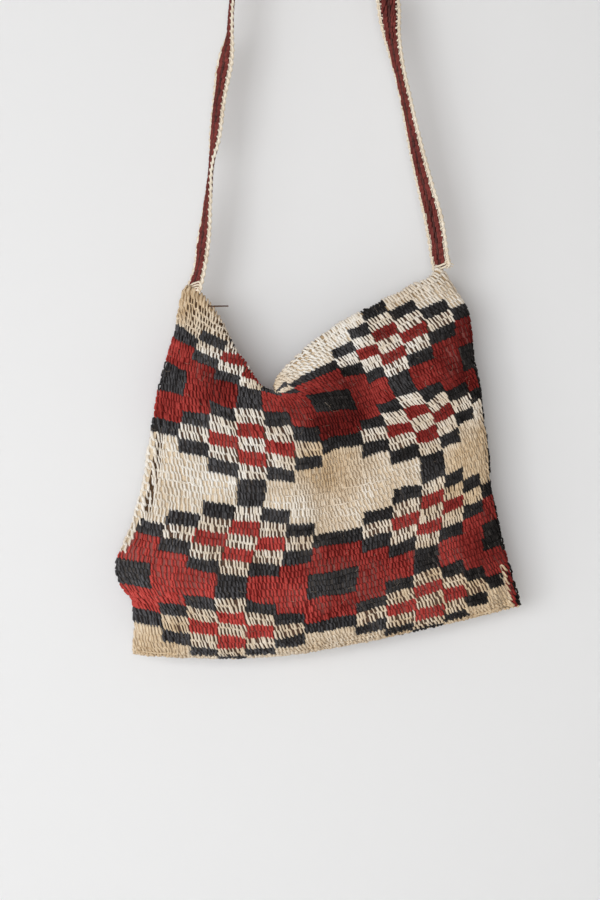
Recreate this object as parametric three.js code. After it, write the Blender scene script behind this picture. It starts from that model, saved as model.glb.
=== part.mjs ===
// Looped plant-fibre shoulder bag, hanging by the middle of its strap.
// Millimetres, +Z up, the patterned front towards -Y.
// The origin is the point under the strap where it hangs.

import * as THREE from "three";

// Pouch cloth: looped in one piece, counted in wales (loops round) and checks (two courses of loops each)
const CLOTH_THICKNESS = 3;
const EDGE_THICKNESS = 1.2;
const EDGE_CHECKS = 1;
const WALES_AROUND = 212;
const WALES_ACROSS = WALES_AROUND / 2;
const WALE_WIDTH = 3.5;
const CHECKS_DOWN = 28;
const CHECK_HEIGHT = 12;

// Where the cloth bends: the bottom turns under, and the mouth falls inward over a soft roll
const TURN_UNDER_CHECK = 24.5;
const SIDE_FULLNESS = 4;
const MOUTH_ROLL_RADIUS = 4;
const TURNED_IN_SHARE = 0.5;
const LEAST_TURN_IN = 0.4;

// Gather at the bottom of the mouth's dip, where the cloth evens itself out
const GATHER_WALE = 43;
const GATHER_CHECK = 3;
const GATHER_WALES = 9;
const GATHER_CHECKS = 4.5;
const GATHER_REACH = 2;
const GATHER_SHARE = 0.5;
const GATHER_PASSES = 25;

// Corners drawn up into the ends of the strap: the wale in the middle of each, and how far round it is drawn
const NECK_PULL = 7;
const NECK_CHECKS = 1.2;
const LEFT_NECK = { wale: 3, wales: 5.5 };
const RIGHT_NECK = { wale: 106, wales: 3 };

// Strap: a flat looped band that turns over a peg
const STRAP_WIDTH = 22;
const STRAP_THICKNESS = 3;
const STRAP_EDGE = 0.9;
const PEG_RADIUS = 6;
const SEAT_GAP = 0.3;

// Facets, and the small steps that directions are taken over
const COLUMNS_ACROSS = 46;
const ROLL_ROWS = 4;
const TURNED_IN_ROWS = 1;
const BODY_ROWS = 18;
const BOTTOM_ROWS = 3;
const SIDE_CROWDING = 0.2;
const STRAP_STEPS = 200;
const PEG_STEP_SHARE = 0.35;
const STEP_IN_CHECKS = 0.3;
const STEP_ALONG_STRAP = 0.5;

// Seven lines that run down the cloth, by their wale from the left side
const LINE_WALES = [0, 12.5, 28.5, 46, 55, 81.5, 106];

// Courses of the front: depth of the belly, and where each line is: across from the hang point and below it.
// The lines are the left side, left corner, left diamonds, mouth crease, middle,
// right diamonds and right side.
const FRONT_COURSES = [
  { check: 0, depth: 15, across: [-98, -60, -23, -29, 8, 73, 137],
    below: [687, 712, 724, 774, 743, 701, 670] },
  { check: 3.5, depth: 16, across: [-104, -74, -30, -12, 22, 89, 159],
    below: [722, 741, 756, 779, 762, 735, 703] },
  { check: 7, depth: 18, across: [-116, -83, -37, 12, 39, 100, 165],
    below: [764, 773, 784, 786, 786, 771, 745] },
  { check: 10.5, depth: 20, across: [-126, -86, -35, 21, 46, 119, 171],
    below: [807, 816, 826, 830, 823, 806, 779] },
  { check: 14, depth: 22, across: [-133, -89, -35, 18, 42, 128, 177],
    below: [853, 861, 869, 871, 867, 845, 822] },
  { check: 17.5, depth: 24, across: [-144, -100, -44, 12, 43, 126, 181],
    below: [897, 905, 913, 914, 909, 887, 864] },
  { check: 21, depth: 25, across: [-158, -112, -53, 7, 38, 121, 189],
    below: [939, 946, 953, 955, 950, 928, 904] },
  { check: 24.5, depth: 22, across: [-143, -103, -52, 4, 36, 125, 200],
    below: [978, 985, 991, 991, 986, 964, 943] },
  { check: 28, depth: 22, across: [-142, -103, -53, 6, 36, 124, 208],
    below: [1015, 1017, 1018, 1014, 1009, 991, 971] },
];

// The back hangs as the front does, but its two top courses run straighter between the corners
const BACK_TOP_COURSES = [
  { check: 0, across: [-98, -67, -32, 1, 20, 80, 137], below: [687, 700, 712, 712, 712, 698, 670] },
  { check: 3.5, across: [-104, -74, -35, 7, 27, 89, 159],
    below: [722, 734, 746, 750, 750, 734, 703] },
];
const BACK_DEPTHS = [16, 16, 16, 14, 13, 12, 12, 15, 15];

// How many checks at the mouth are turned inward, at wales from the left side
const FRONT_TURN_IN = {
  wale: [0, 8.5, 12.5, 16.5, 20.5, 28.5, 34, 38, 42, 46, 51, 106],
  checks: [0.4, 0.4, 1.0, 2.0, 3.2, 5.0, 5.9, 5.2, 3.2, 1.0, 0.4, 0.4],
};
const BACK_TURN_IN = {
  wale: [0, 3, 6, 9, 15, 22, 28.5, 35, 42, 48, 55, 68, 81.5, 94, 106],
  checks: [0.4, 0.4, 0.8, 1.4, 2.8, 4.4, 5.9, 6.8, 5.9, 4.9, 4.3, 2.8, 1.4, 0.5, 0.4],
};

// Creases: soft troughs (ridges where the depth is negative) pressed in along a line of [wale, check] points
const CREASES = [
  { name: "left side pinch", line: [[2.6, 9.5], [3, 18.5]], halfWidth: 1.9, depth: 6.5 },
  { name: "right side pinch", line: [[102.5, 22.5], [102, 28]], halfWidth: 2.2, depth: 4 },
  { name: "mouth crease", line: [[47, 5.5], [42, 9]], halfWidth: 4.5, depth: 6 },
  { name: "slant trough", line: [[74, 6], [58, 11], [52, 16]], halfWidth: 8, depth: 11 },
  { name: "left ridge", line: [[10, 4], [10, 12]], halfWidth: 4, depth: -3 },
  { name: "fold under the left bulge", line: [[-6, 23.6], [8, 23.4]], halfWidth: 2.6, depth: 4 },
];

// Strap route from the left corner to the right one: its middle line, and how far its face turns to the side
const STRAP_LEFT = [
  { across: -89, below: 689, turn: 45 },
  { across: -83, below: 669, turn: 56 },
  { across: -79, below: 642, turn: 55 },
  { across: -75, below: 606, turn: 72 },
  { across: -71.5, below: 570, turn: 82 },
  { across: -69, below: 552, turn: 64 },
  { across: -65, below: 516, turn: 57 },
  { across: -58, below: 471, turn: 52 },
  { across: -55, below: 453, turn: 76 },
  { across: -54, below: 435, turn: 82 },
  { across: -47, below: 372, turn: 70 },
  { across: -27, below: 215, turn: 78 },
  { across: -8.6, below: 40, turn: 90 },
];
const STRAP_RIGHT = [
  { across: 9.4, below: 40, turn: 88 },
  { across: 46, below: 215, turn: 70 },
  { across: 80, below: 380, turn: 40 },
  { across: 88.5, below: 426, turn: -2 },
  { across: 91.5, below: 453, turn: -45 },
  { across: 97, below: 480, turn: -64 },
  { across: 105, below: 516, turn: -67 },
  { across: 112.5, below: 552, turn: -60 },
  { across: 121, below: 588, turn: -52 },
  { across: 130, below: 624, turn: -42 },
  { across: 136, below: 662, turn: -45 },
  { across: 140, below: 682, turn: -45 },
];
const PEG_TURN_ANGLES = [-68, -34, 0, 34, 66];

// Smooth curve through values at uneven knots (cubic pieces with averaged slopes)
function smooth(knots, values, at) {
  const last = knots.length - 1;
  const place = Math.min(Math.max(at, knots[0]), knots[last]);
  let piece = 0;
  while (piece < last - 1 && place > knots[piece + 1]) piece += 1;
  const rise = (i) => (values[i + 1] - values[i]) / (knots[i + 1] - knots[i]);
  const slope = (i) => {
    if (i === 0) return rise(0);
    if (i === last) return rise(last - 1);
    const before = knots[i] - knots[i - 1];
    const after = knots[i + 1] - knots[i];
    return (before * rise(i) + after * rise(i - 1)) / (before + after);
  };
  const width = knots[piece + 1] - knots[piece];
  const t = (place - knots[piece]) / width;
  const u = 1 - t;
  return (
    (1 + 2 * t) * u * u * values[piece] +
    t * u * u * width * slope(piece) +
    (3 - 2 * t) * t * t * values[piece + 1] -
    t * t * u * width * slope(piece + 1)
  );
}

const COURSE_CHECKS = FRONT_COURSES.map((course) => course.check);
const FRONT = {
  side: -1,
  courses: FRONT_COURSES,
  depths: FRONT_COURSES.map((course) => course.depth),
  turnIn: FRONT_TURN_IN,
};
const BACK = {
  side: 1,
  courses: [...BACK_TOP_COURSES, ...FRONT_COURSES.slice(BACK_TOP_COURSES.length)],
  depths: BACK_DEPTHS,
  turnIn: BACK_TURN_IN,
};

// Fullness of the belly across a face: none at the sides, whole over most of the width
const offMiddle = (wale) => wale / (WALES_ACROSS / 2) - 1;
const fullness = (wale) => Math.sqrt(Math.max(0, 1 - Math.abs(offMiddle(wale)) ** SIDE_FULLNESS));

// Place of a wale and check on a face whose mouth isn't turned in yet
function facePoint(face, wale, check) {
  const under = Math.max(0, (check - TURN_UNDER_CHECK) / (CHECKS_DOWN - TURN_UNDER_CHECK)) * (Math.PI / 2);
  const level = Math.min(check, TURN_UNDER_CHECK) + (CHECKS_DOWN - TURN_UNDER_CHECK) * Math.sin(under);
  const line = (key) => face.courses.map((course) => smooth(LINE_WALES, course[key], wale));
  const depth = smooth(COURSE_CHECKS, face.depths, Math.min(check, TURN_UNDER_CHECK));
  return new THREE.Vector3(
    smooth(COURSE_CHECKS, line("across"), level),
    face.side * depth * Math.cos(under) * fullness(wale),
    -smooth(COURSE_CHECKS, line("below"), level),
  );
}

// Level direction out of the pouch at a wale of a face
function outward(face, wale, check) {
  const depth = smooth(COURSE_CHECKS, face.depths, check);
  const halfWidth = 0.5 * (facePoint(face, WALES_ACROSS, check).x - facePoint(face, 0, check).x);
  const sideways = (SIDE_FULLNESS * offMiddle(wale) ** 3) / halfWidth;
  return new THREE.Vector3(sideways, (face.side * 2 * fullness(wale)) / depth, 0).normalize();
}

function turnedInChecks(face, wale) {
  return Math.max(LEAST_TURN_IN, smooth(face.turnIn.wale, face.turnIn.checks, wale));
}

// Place of a wale and check on the hanging cloth: past the mouth roll it goes down again inside
function clothPoint(face, wale, check) {
  const turnCheck = turnedInChecks(face, wale);
  if (check >= turnCheck) return facePoint(face, wale, check);
  const top = facePoint(face, wale, turnCheck);
  const up = facePoint(face, wale, turnCheck - STEP_IN_CHECKS).sub(top).normalize();
  const out = outward(face, wale, turnCheck);
  const past = (turnCheck - check) * CHECK_HEIGHT;
  const angle = Math.min(past / MOUTH_ROLL_RADIUS, Math.PI);
  const hanging = Math.max(0, past - Math.PI * MOUTH_ROLL_RADIUS) * TURNED_IN_SHARE;
  return top
    .addScaledVector(up, MOUTH_ROLL_RADIUS * Math.sin(angle) - hanging)
    .addScaledVector(out, -MOUTH_ROLL_RADIUS * (1 - Math.cos(angle)));
}

// Checks of the rows down one wale, crowded over the mouth roll and the bottom
function rowChecks(face, wale) {
  const turnCheck = turnedInChecks(face, wale);
  const rollChecks = (Math.PI * MOUTH_ROLL_RADIUS) / CHECK_HEIGHT;
  const roll = Math.min(rollChecks, (turnCheck * ROLL_ROWS) / (ROLL_ROWS + TURNED_IN_ROWS));
  const checks = [];
  const span = (from, to, rows) => {
    for (let i = 0; i < rows; i += 1) checks.push(from + ((to - from) * i) / rows);
  };
  span(0, turnCheck - roll, TURNED_IN_ROWS);
  span(turnCheck - roll, turnCheck, ROLL_ROWS);
  span(turnCheck, TURN_UNDER_CHECK, BODY_ROWS);
  span(TURN_UNDER_CHECK, CHECKS_DOWN, BOTTOM_ROWS);
  checks.push(CHECKS_DOWN);
  return checks;
}

// How far the creases press the cloth in at a wale (counted all round) and check
function creaseDepth(wale, check) {
  const flat = ([wales, checks]) => new THREE.Vector2(wales, (checks * CHECK_HEIGHT) / WALE_WIDTH);
  let depth = 0;
  for (const { line, halfWidth, depth: deepest } of CREASES) {
    const point = flat([wale - line[0][0] > WALES_AROUND / 2 ? wale - WALES_AROUND : wale, check]);
    let nearest = Infinity;
    for (let i = 1; i < line.length; i += 1) {
      const start = flat(line[i - 1]);
      const along = flat(line[i]).sub(start);
      const share = point.clone().sub(start).dot(along) / along.lengthSq();
      start.addScaledVector(along, THREE.MathUtils.clamp(share, 0, 1));
      nearest = Math.min(nearest, point.distanceTo(start));
    }
    depth += deepest * Math.exp(-((nearest / halfWidth) ** 2));
  }
  return depth;
}

// The cloth is a full loop thick, thinner at the edge of the mouth
function thicknessAt(check) {
  return THREE.MathUtils.lerp(EDGE_THICKNESS, CLOTH_THICKNESS, Math.min(1, check / EDGE_CHECKS));
}

// Closed solid from a sheet: its two faces stand half the thickness off, joined along the rim
function solidFromSheet(sheet, rim, thicknesses) {
  const count = sheet.getAttribute("position").count;
  const place = new THREE.Vector3();
  const normal = new THREE.Vector3();
  const points = [];
  for (const side of [0.5, -0.5]) {
    for (let i = 0; i < count; i += 1) {
      place.fromBufferAttribute(sheet.getAttribute("position"), i);
      normal.fromBufferAttribute(sheet.getAttribute("normal"), i);
      points.push(...place.addScaledVector(normal, side * thicknesses[i]).toArray());
    }
  }
  const faces = Array.from(sheet.index.array);
  const triangles = [...faces];
  for (let i = 0; i < faces.length; i += 3) {
    triangles.push(faces[i] + count, faces[i + 2] + count, faces[i + 1] + count);
  }
  rim.forEach((a, i) => {
    const b = rim[(i + 1) % rim.length];
    triangles.push(a, b, a + count, b, b + count, a + count);
  });
  return geometryFrom(points, triangles);
}

function geometryFrom(points, triangles) {
  const geometry = new THREE.BufferGeometry();
  geometry.setAttribute("position", new THREE.Float32BufferAttribute(points, 3));
  geometry.setIndex(triangles);
  geometry.computeVertexNormals();
  return geometry;
}

// Middle sheet of the pouch: columns run all round, rows from the mouth to the bottom fold,
// where the front meets the back
function pouchSheet() {
  const columns = 2 * COLUMNS_ACROSS;
  const points = [];
  const cloth = [];
  let rows = 0;
  for (let column = 0; column < columns; column += 1) {
    const face = column <= COLUMNS_ACROSS ? FRONT : BACK;
    const share = (face === FRONT ? column : columns - column) / COLUMNS_ACROSS;
    const wale = WALES_ACROSS * (share - (SIDE_CROWDING * Math.sin(2 * Math.PI * share)) / (2 * Math.PI));
    const checks = rowChecks(face, wale);
    rows = checks.length;
    for (const check of checks) {
      points.push(clothPoint(face, wale, check));
      cloth.push([face === FRONT ? wale : WALES_AROUND - wale, check]);
    }
  }
  const vertex = (column, row) => {
    const around = (column + columns) % columns;
    const shared = row === rows - 1 && around > COLUMNS_ACROSS ? columns - around : around;
    return shared * rows + row;
  };
  const triangles = [];
  for (let column = 0; column < columns; column += 1) {
    for (let row = 0; row < rows - 1; row += 1) {
      const [a, b] = [vertex(column, row), vertex(column + 1, row)];
      const [c, d] = [vertex(column, row + 1), vertex(column + 1, row + 1)];
      const leftHalf = column % COLUMNS_ACROSS < COLUMNS_ACROSS / 2;
      triangles.push(...(leftHalf ? [a, c, b, b, c, d] : [a, c, d, a, d, b]));
    }
  }
  const rim = Array.from({ length: columns }, (_, column) => vertex(column, 0));
  return { points, cloth, triangles, rim, rows };
}

// Moves the points round the gather towards the middle of their neighbours, a little in each pass
function easeGather({ points, cloth, rows }) {
  const gathered = [];
  cloth.forEach(([wale, check], i) => {
    const away = ((wale - GATHER_WALE) / GATHER_WALES) ** 2 + ((check - GATHER_CHECK) / GATHER_CHECKS) ** 2;
    const neighbours = i % rows === 0 ? [i - rows, i + rows, i + 1] : [i - rows, i + rows, i - 1, i + 1];
    if (away < GATHER_REACH ** 2) gathered.push({ i, neighbours, share: GATHER_SHARE * Math.exp(-away) });
  });
  for (let pass = 0; pass < GATHER_PASSES; pass += 1) {
    const eased = gathered.map(({ i, neighbours, share }) => {
      const middle = new THREE.Vector3();
      neighbours.forEach((n) => middle.addScaledVector(points[n], 1 / neighbours.length));
      return points[i].clone().lerp(middle.setY(points[i].y), share);
    });
    gathered.forEach(({ i }, k) => points[i].copy(eased[k]));
  }
}

// Draws a corner of the mouth up towards its end of the strap
function drawUpCorner(sheet, neck, pull) {
  sheet.points.forEach((point, i) => {
    const [wale, check] = sheet.cloth[i];
    const wales = Math.abs(wale - neck.wale);
    const away = Math.min(wales, WALES_AROUND - wales) / neck.wales;
    point.addScaledVector(pull, NECK_PULL * Math.exp(-away * away - (check / NECK_CHECKS) ** 2));
  });
}

const flatten = (points) => points.flatMap((point) => point.toArray());

function pouchGeometry(leftPull, rightPull) {
  const sheet = pouchSheet();
  easeGather(sheet);
  drawUpCorner(sheet, LEFT_NECK, leftPull);
  drawUpCorner(sheet, RIGHT_NECK, rightPull);
  const smoothSheet = geometryFrom(flatten(sheet.points), sheet.triangles);
  const normal = new THREE.Vector3();
  sheet.points.forEach((point, i) => {
    normal.fromBufferAttribute(smoothSheet.getAttribute("normal"), i);
    point.addScaledVector(normal, -creaseDepth(...sheet.cloth[i]));
  });
  const thicknesses = sheet.cloth.map(([, check]) => thicknessAt(check));
  return solidFromSheet(geometryFrom(flatten(sheet.points), sheet.triangles), sheet.rim, thicknesses);
}

// Middle line of the strap, with the turn of its face, from the left end over the peg to the right end
function strapRoute() {
  const radius = PEG_RADIUS + STRAP_THICKNESS / 2;
  const turn = PEG_TURN_ANGLES.map((degrees) => {
    const angle = THREE.MathUtils.degToRad(degrees);
    return { across: radius * Math.sin(angle), below: PEG_RADIUS - radius * Math.cos(angle), turn: 90 };
  });
  return [...STRAP_LEFT, ...turn, ...STRAP_RIGHT];
}

// Length along the route at each of its rows
function lengthsAlong(route) {
  const lengths = [0];
  for (let i = 1; i < route.length; i += 1) {
    const step = Math.hypot(route[i].across - route[i - 1].across, route[i].below - route[i - 1].below);
    lengths.push(lengths[i - 1] + step);
  }
  return lengths;
}

function strapPath() {
  const route = strapRoute();
  const lengths = lengthsAlong(route);
  const column = (key) => route.map((row) => row[key]);
  const pointAt = (length) => {
    const across = smooth(lengths, column("across"), length);
    return new THREE.Vector3(across, 0, -smooth(lengths, column("below"), length));
  };
  return {
    length: lengths[lengths.length - 1],
    pegLength: lengths[STRAP_LEFT.length + (PEG_TURN_ANGLES.length - 1) / 2],
    pointAt,
    tangentAt: (length) =>
      pointAt(length + STEP_ALONG_STRAP).sub(pointAt(length - STEP_ALONG_STRAP)).normalize(),
    turnAt: (length) => THREE.MathUtils.degToRad(smooth(lengths, column("turn"), length)),
  };
}

// Section of the band: a flat oblong with its edges eased
function strapSection() {
  const [w, t, e] = [STRAP_WIDTH / 2, STRAP_THICKNESS / 2, STRAP_EDGE];
  return [
    [w, -t + e],
    [w, t - e],
    [w - e, t],
    [-w + e, t],
    [-w, t - e],
    [-w, -t + e],
    [-w + e, -t],
    [w - e, -t],
  ];
}

// Steps along the strap, closer together over the peg
function strapSteps(path, start, end) {
  const steps = [];
  for (let i = 0; i <= STRAP_STEPS; i += 1) {
    const share = (2 * i) / STRAP_STEPS - 1;
    const eased = share * (PEG_STEP_SHARE + (1 - PEG_STEP_SHARE) * Math.abs(share));
    steps.push(path.pegLength + eased * (share < 0 ? path.pegLength - start : end - path.pegLength));
  }
  return steps;
}

function strapGeometry(path, start, end) {
  const section = strapSection();
  const sides = section.length;
  const points = [];
  const level = new THREE.Vector3(0, 1, 0);
  const steps = strapSteps(path, start, end);
  for (const length of steps) {
    const tangent = path.tangentAt(length);
    const turn = path.turnAt(length);
    const flat = new THREE.Vector3().crossVectors(level, tangent).normalize();
    const wide = flat.multiplyScalar(Math.cos(turn)).addScaledVector(level, -Math.sin(turn));
    const thick = new THREE.Vector3().crossVectors(wide, tangent);
    for (const [across, through] of section) {
      const place = path.pointAt(length).addScaledVector(wide, across).addScaledVector(thick, through);
      points.push(...place.toArray());
    }
  }
  const triangles = [];
  for (let step = 0; step < steps.length - 1; step += 1) {
    for (let side = 0; side < sides; side += 1) {
      const [a, b] = [step * sides + side, step * sides + ((side + 1) % sides)];
      triangles.push(a, a + sides, b, b, a + sides, b + sides);
    }
  }
  const lastRing = (steps.length - 1) * sides;
  for (let side = 1; side < sides - 1; side += 1) {
    triangles.push(0, side, side + 1);
    triangles.push(lastRing, lastRing + side + 1, lastRing + side);
  }
  return geometryFrom(points, triangles);
}

// Length along the strap at which its end clears a corner of the pouch
function seatedLength(path, pouch, from, inward) {
  const end = path.pointAt(from);
  const away = path.tangentAt(from).multiplyScalar(inward);
  const places = pouch.getAttribute("position");
  const place = new THREE.Vector3();
  let reach = 0;
  for (let i = 0; i < places.count; i += 1) {
    place.fromBufferAttribute(places, i).sub(end);
    const forward = place.dot(away);
    if (place.addScaledVector(away, -forward).length() < STRAP_WIDTH) reach = Math.max(reach, forward);
  }
  return from + inward * (reach + SEAT_GAP);
}

const naturalFibre = new THREE.MeshStandardMaterial({ color: 0xd8c7a4, roughness: 0.95, metalness: 0 });
const redFibre = new THREE.MeshStandardMaterial({ color: 0x8c2a26, roughness: 0.95, metalness: 0 });

const path = strapPath();
const pouchShape = pouchGeometry(path.tangentAt(0), path.tangentAt(path.length).negate());
const strapStart = seatedLength(path, pouchShape, 0, 1);
const strapEnd = seatedLength(path, pouchShape, path.length, -1);

const pouch = new THREE.Mesh(pouchShape, naturalFibre);
pouch.name = "pouch";

const strap = new THREE.Mesh(strapGeometry(path, strapStart, strapEnd), redFibre);
strap.name = "strap";

const bag = new THREE.Group();
bag.add(pouch, strap);

export default bag;
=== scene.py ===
import bpy
import numpy as np
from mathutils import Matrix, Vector


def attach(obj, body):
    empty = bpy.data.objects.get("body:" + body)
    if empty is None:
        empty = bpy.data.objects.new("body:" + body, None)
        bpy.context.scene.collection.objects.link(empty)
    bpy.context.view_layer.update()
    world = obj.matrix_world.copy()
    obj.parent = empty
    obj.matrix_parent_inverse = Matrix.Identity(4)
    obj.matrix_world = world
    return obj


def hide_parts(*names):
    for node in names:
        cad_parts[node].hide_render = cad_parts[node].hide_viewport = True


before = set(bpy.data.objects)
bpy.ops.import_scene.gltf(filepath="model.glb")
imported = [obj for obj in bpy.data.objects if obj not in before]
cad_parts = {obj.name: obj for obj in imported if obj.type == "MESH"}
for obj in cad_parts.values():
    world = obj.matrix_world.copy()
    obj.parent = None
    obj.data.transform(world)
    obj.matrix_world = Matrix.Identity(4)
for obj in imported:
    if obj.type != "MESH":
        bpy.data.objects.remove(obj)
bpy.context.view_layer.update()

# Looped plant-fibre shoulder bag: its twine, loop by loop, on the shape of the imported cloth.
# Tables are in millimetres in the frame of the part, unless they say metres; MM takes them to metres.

scene, join = bpy.context.scene, np.concatenate
MM = 0.001
FULL_TURN = 2 * np.pi

# Corners of a square, and the order in which a quad faces the other way
SQUARE = np.array([(0, 0), (1, 0), (1, 1), (0, 1)])
OTHER_WAY = [0, 3, 2, 1]

# Pouch cloth, counted in wales (loops round) and checks (two courses of loops each)
WALES = 212
FACE_WALES = 106
WALE_WIDTH = 3.5
CHECKS = 28
CHECK_HEIGHT = 12
COURSES = 2
LATTICE = 0.25

# Where the cloth bends: the bottom turns under, and the mouth falls inward over a soft roll
UNDER_CHECK = 24.5
SIDE_FULLNESS = 4
ROLL_RADIUS = 4
TURNED_IN_SHARE = 0.5
LEAST_TURN_IN = 0.4
STEP_IN_CHECKS = 0.3

# Gather at the bottom of the mouth's dip, and the corners drawn up into the strap
GATHER_WALE, GATHER_WALES = 43, 9
GATHER_CHECK, GATHER_CHECKS = 3, 4.5
GATHER_REACH = 2
GATHER_SHARE = 0.5
GATHER_PASSES = 144
NECK_PULL = 7
NECK_CHECKS = 1.2
LEFT_NECK, RIGHT_NECK = dict(wale=3, reach=5.5), dict(wale=106, reach=3)

# Seven lines run down the cloth, by wale. A course has its check, the depth of its belly, and the lines'
# places on it, across from the hang point and below it
LINE_WALES = [0, 12.5, 28.5, 46, 55, 81.5, 106]
FRONT_COURSES = [
    (0, 15, [-98, -60, -23, -29, 8, 73, 137], [687, 712, 724, 774, 743, 701, 670]),
    (3.5, 16, [-104, -74, -30, -12, 22, 89, 159], [722, 741, 756, 779, 762, 735, 703]),
    (7, 18, [-116, -83, -37, 12, 39, 100, 165], [764, 773, 784, 786, 786, 771, 745]),
    (10.5, 20, [-126, -86, -35, 21, 46, 119, 171], [807, 816, 826, 830, 823, 806, 779]),
    (14, 22, [-133, -89, -35, 18, 42, 128, 177], [853, 861, 869, 871, 867, 845, 822]),
    (17.5, 24, [-144, -100, -44, 12, 43, 126, 181], [897, 905, 913, 914, 909, 887, 864]),
    (21, 25, [-158, -112, -53, 7, 38, 121, 189], [939, 946, 953, 955, 950, 928, 904]),
    (24.5, 22, [-143, -103, -52, 4, 36, 125, 200], [978, 985, 991, 991, 986, 964, 943]),
    (28, 22, [-142, -103, -53, 6, 36, 124, 208], [1015, 1017, 1018, 1014, 1009, 991, 971]),
]
BACK_TOP_COURSES = [
    (0, 16, [-98, -67, -32, 1, 20, 80, 137], [687, 700, 712, 712, 712, 698, 670]),
    (3.5, 16, [-104, -74, -35, 7, 27, 89, 159], [722, 734, 746, 750, 750, 734, 703]),
]
BACK_LOWER_DEPTHS = [16, 14, 13, 12, 12, 15, 15]

# Wales from the left side, and how many checks at the mouth are turned inward there
FRONT_TURN_IN = (
    [0, 8.5, 12.5, 16.5, 20.5, 28.5, 34, 38, 42, 46, 51, 106],
    [0.4, 0.4, 1.0, 2.0, 3.2, 5.0, 5.9, 5.2, 3.2, 1.0, 0.4, 0.4],
)
BACK_TURN_IN = (
    [0, 3, 6, 9, 15, 22, 28.5, 35, 42, 48, 55, 68, 81.5, 94, 106],
    [0.4, 0.4, 0.8, 1.4, 2.8, 4.4, 5.9, 6.8, 5.9, 4.9, 4.3, 2.8, 1.4, 0.5, 0.4],
)

# Creases: a line of (wale, check) points, half width, and depth, which is negative on a ridge
CREASES = {
    "left side pinch": ([(2.6, 9.5), (3, 18.5)], 1.9, 6.5),
    "right side pinch": ([(102.5, 22.5), (102, 28)], 2.2, 4),
    "mouth crease": ([(47, 5.5), (42, 9)], 4.5, 6),
    "slant trough": ([(74, 6), (58, 11), (52, 16)], 8, 11),
    "left ridge": ([(10, 4), (10, 12)], 4, -3),
    "fold under the left bulge": ([(-6, 23.6), (8, 23.4)], 2.6, 4),
}

# Chart of the pattern: diamonds in columns 53 wales apart, one in every seven checks.
# Three twines come first, then what else shows between natural loops: carried floats, and painted shade in
# the open corner, the bare fold and along the mouth's edge; then the rows of the inside
CREAM, RED, CHARCOAL, FLOATS, OPEN_PAINTED_SHADE, MOUTH_EDGE_SHADE, INSIDE = range(7)
OUTSIDE = -1
DIAMOND_WALE = 28.5
DIAMOND_PERIOD = 53
DIAMOND_TOP = 1
DIAMOND_CHECKS = 5
BAND_CHECKS = 7
STEP_WALES = [4, 12, 20]
DIAMOND = np.array([
    [CREAM, RED, CREAM, RED, CREAM],
    [CHARCOAL, CREAM, RED, CREAM, CHARCOAL],
    [OUTSIDE, CHARCOAL, CREAM, CHARCOAL, OUTSIDE],
    [OUTSIDE, OUTSIDE, CHARCOAL, OUTSIDE, OUTSIDE],
])

# Strands carried up the two sides: from and to wale (on the left, from zero both ways), then check; colour
SIDE_STRANDS = [
    (105.4, 107.6, 7.5, 22.5, CHARCOAL),
    (107.6, 109.2, 14, 24.5, RED),
    (103.5, 104.5, 23.6, 28, CREAM),
    (104.5, 105.5, 23.6, 28, RED),
    (105.5, 106.4, 23.6, 28, CHARCOAL),
    (106.4, 108.6, 24.5, 28, CREAM),
    (-2.6, 1.4, 16.6, 19.4, CREAM),
    (-2.6, -0.4, 19.4, 25.5, CHARCOAL),
]

# At the bottom right the side is drawn round to the front, and the pattern with it
TWIST_WALES, TWIST_CHECKS, TWIST = (84, 106), (19, 25), 5.5

# Left corner of the front, drawn open, so a dark ground, painted as the shade inside, shows between its
# loops
CORNER_CHECKS, CORNER_WALES = (0.4, 3), (2, 17)

# Sharp fold beside the left edge, with a bare bottom painted dark as the fold's shade, and loops that lean
# over it
GROOVE_WALE, GROOVE_CHECKS, GROOVE_END = 2, (9.6, 16.5), 1
GROOVE_HALF_WIDTH, GROOVE_DEPTH = 0.8, 3.5
GROOVE_BARE, GROOVE_CLOSING = 0.6, 0.5

# A loop of twine: across in wales, down in courses, height, share of the width, which goes by the zone
LOOP = np.array([
    (-0.50, -0.14, 0.50, 0.82),
    (-0.13, 0.19, 0.93, 1.0),
    (0.13, 0.81, 0.93, 1.0),
    (0.50, 1.14, 0.50, 0.82),
])
DYED_LOOP = np.array([
    (-0.36, -0.03, 0.15, 0.85),
    (-0.10, 0.2, 0.90, 1.02),
    (0.10, 0.8, 0.90, 1.02),
    (0.36, 1.03, 0.15, 0.85),
])
TWINE_RADIUS = 0.95
ZONE_WIDTHS = np.array([1.06, 1.06, 1.06, 1.0, 0.78, 1.2])
BEYOND_FOLD_WIDTH, DYED_WIDTH = 1.4, 1.14
LOOP_DRIFT = 0.15
LOOP_LIFT = 0.2
LOOP_WIDTH_SPREAD = 0.2
LOOP_SHEAR = 0.5
FURTHEST = 2

# Strands: two quads close each end. In the bake map a wall is on the left of its cell, ends on the right
SIDES = 6
STRAND_END = np.array([[1, 2, 3, 0], [3, 4, 5, 0]])
WALL_AT, WALL_SIZE = np.array([0.05, 0.05]), np.array([0.70, 0.90])
END_AT, END_STEP, END_SIZE = np.array([0.82, 0.05]), np.array([0, 0.24]), 0.12
TWIST_STARTS = (0, 40)

# Hand-worked unevenness: seed and size of broad waves, in wales, checks and how far the loops stand out
UNEVEN = dict(across=(1, 0.13), down=(2, 0.05), out=(3, 0.22))
WAVES, WAVES_ROUND, WAVES_DOWN = 9, (4, 26), (-11, 11)

# Seeds of what is worked by hand: how strands lie, and where along them their twist starts
SEEDS = dict(
    loops=11, natural=20, red=21, charcoal=22, carried=51, carried_twist=52, fibres=61, fibres_twist=62,
    tail=43, strap=31, strap_twist=33, edges=35, edges_twist=36, cores=37, lashings=44, lashings_twist=41,
    tufts=42,
)

# Ground that the loops stand on, and the inside of the cloth: off its middle, and shares of the bake map
GROUND_OFF = -0.2, -1.2
FACE_SHARE, INSIDE_AT = [0.98, 0.48], [0, 0.5]
RIM_SHARE, RIM_AT = [0.98, 0.01], [0, 0.985]

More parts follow.
